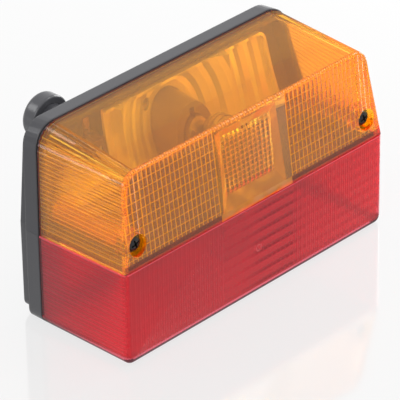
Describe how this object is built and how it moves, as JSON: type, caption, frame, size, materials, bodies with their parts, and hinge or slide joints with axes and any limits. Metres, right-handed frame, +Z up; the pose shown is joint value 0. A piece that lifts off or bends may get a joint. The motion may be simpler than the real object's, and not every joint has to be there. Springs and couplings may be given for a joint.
{
  "type": "tail light cluster",
  "caption": "Low rectangular rear lamp: black moulded housing, amber upper lens welded to a red lower lens, bulbs and reflectors inside, rubber cable entry behind.",
  "frame": {"origin": "on the mounting face, midway along the lamp, at the height of the line between the colours", "axes": "+X to the right seen from the front, +Y back towards the panel, +Z up; the lenses face -Y"},
  "size_m": [0.16, 0.0768, 0.0899],
  "materials": {
    "black_plastic": "moulded, fine grain",
    "black_rubber": "moulded, dull",
    "metallised_plastic": "vacuum metallised, soft",
    "amber_acrylic": "moulded, clear, fluted",
    "red_acrylic": "moulded, clear, fluted",
    "blackened_steel": "black plated, satin",
    "dark_resin": "moulded",
    "clear_glass": "blown, clear",
    "bright_brass": "nickel on brass, bright",
    "bright_wire": "drawn wire on a glass stem",
    "strip_brass": "stamped strip, dull",
    "brown_resin": "moulded",
    "plated_steel": "zinc plated"
  },
  "bodies": {
    "root": {"housing": "black_plastic", "lens_seal": "black_rubber", "indicator_reflector": "metallised_plastic", "stop_tail_reflector": "metallised_plastic", "amber_lens": "amber_acrylic", "red_lens": "red_acrylic", "lens_screw_left": "blackened_steel", "lens_screw_right": "blackened_steel", "screw_washer_left": "black_rubber", "screw_washer_right": "black_rubber", "indicator_holder": "dark_resin", "indicator_bulb_glass": "clear_glass", "indicator_bulb_cap": "bright_brass", "indicator_bulb_filament": "bright_wire", "indicator_contact": "strip_brass", "stop_tail_holder": "dark_resin", "stop_tail_bulb_glass": "clear_glass", "stop_tail_bulb_cap": "bright_brass", "stop_tail_bulb_filaments": "bright_wire", "stop_contact": "strip_brass", "tail_contact": "strip_brass", "earth_strap": "strip_brass", "terminal_block": "brown_resin", "terminal_screws": "plated_steel", "holder_screws": "plated_steel", "cable_grommet": "black_rubber"}
  },
  "joints": []
}
